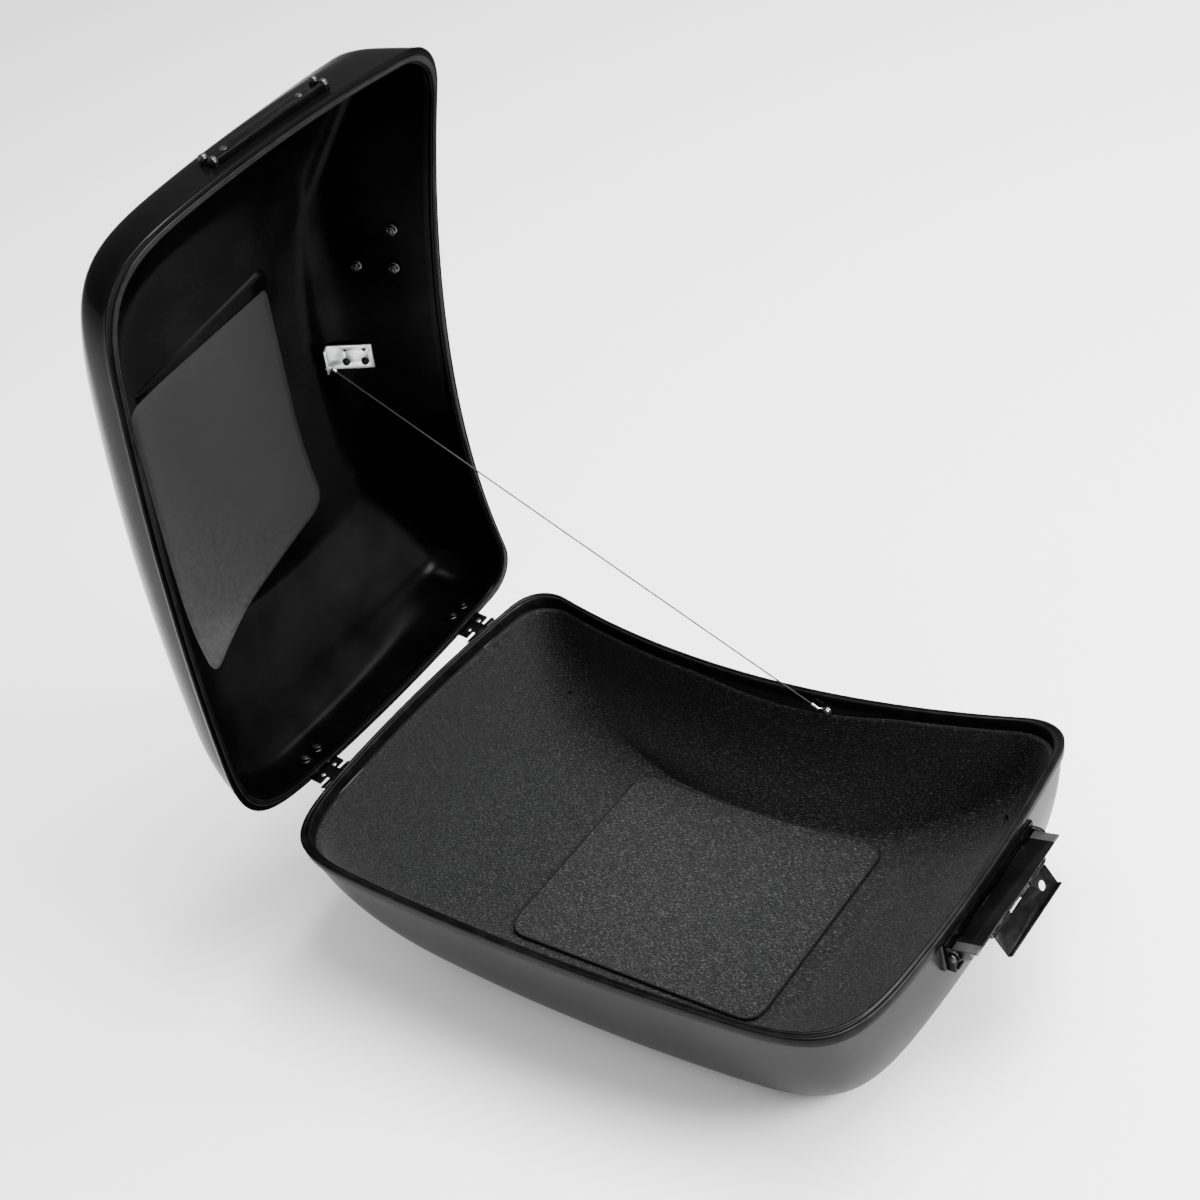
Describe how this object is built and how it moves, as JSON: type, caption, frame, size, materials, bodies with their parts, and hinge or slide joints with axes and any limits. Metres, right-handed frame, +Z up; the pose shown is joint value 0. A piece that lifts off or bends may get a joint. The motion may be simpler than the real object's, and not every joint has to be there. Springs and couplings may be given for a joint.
{
  "type": "side-opening motorcycle touring trunk",
  "caption": "Hard motorcycle luggage trunk with a carpet-lined base, a domed lid on side hinges, a check cable and an over-centre draw latch.",
  "frame": {"origin": "middle of the rack hole pattern on the flat foot under the base", "axes": "+Z up out of the rack, +X towards the latch side, -X the hinge side, +Y towards the hollow front wall"},
  "size_m": [0.8944, 0.4845, 0.8928],
  "materials": {
    "shell_plastic": "gloss black moulded plastic, scuffed",
    "lining_felt": "charcoal needle-felt carpet",
    "seal_rubber": "black rubber edging",
    "black_steel": "semi-gloss black coated steel",
    "zinc_steel": "zinc plated steel",
    "bracket_alu": "brushed aluminium",
    "bar_plastic": "satin black glass-filled plastic",
    "cap_plastic": "satin grey plastic",
    "cable_jacket": "thin black coated wire rope"
  },
  "bodies": {
    "base": {"base_shell": "shell_plastic", "base_liner": "lining_felt", "floor_mat": "lining_felt", "base_rim_trim": "seal_rubber", "rack_washers": "zinc_steel", "hinge_base_leaf_rear": "black_steel", "hinge_base_leaf_front": "black_steel", "hinge_pin_rear": "zinc_steel", "hinge_pin_front": "zinc_steel", "hinge_base_screws": "zinc_steel", "check_cable": "cable_jacket", "cable_base_eyelet": "zinc_steel", "cable_anchor_screw": "zinc_steel", "latch_bracket": "black_steel", "latch_bracket_screws": "zinc_steel", "latch_pivot_pin": "zinc_steel"},
    "lid": {"lid_shell": "shell_plastic", "lid_seal": "seal_rubber", "lid_stud_bolts": "black_steel", "lid_stud_nuts": "zinc_steel", "hinge_lid_leaf_rear": "black_steel", "hinge_lid_leaf_front": "black_steel", "hinge_lid_bolts": "zinc_steel", "hinge_lid_rivets": "zinc_steel", "catch_plate": "black_steel", "catch_end_hooks": "black_steel", "catch_screws": "zinc_steel", "cable_bracket": "bracket_alu", "cable_bracket_screws": "black_steel", "cable_lid_ferrule": "zinc_steel"},
    "latch_bar": {"latch_bar": "bar_plastic", "latch_end_caps": "cap_plastic", "hook_pin": "zinc_steel", "hook_spring": "zinc_steel"},
    "hook_plate": {"hook_plate": "black_steel"}
  },
  "joints": [
    {"name": "lid_hinge", "type": "hinge", "parent": "base", "child": "lid", "pos_m": [-0.367, 0.022, 0.1585], "axis": [0, 1, 0], "range_deg": [0, 80], "deforming": ["check_cable"]},
    {"name": "latch_bar_pivot", "type": "hinge", "parent": "base", "child": "latch_bar", "pos_m": [0.367, 0.022, 0.146], "axis": [0, -1, 0], "range_deg": [0, 70]},
    {"name": "hook_plate_pivot", "type": "hinge", "parent": "latch_bar", "child": "hook_plate", "pos_m": [0.38768, 0.022, 0.14965], "axis": [0, -1, 0], "range_deg": [0, 78]}
  ]
}
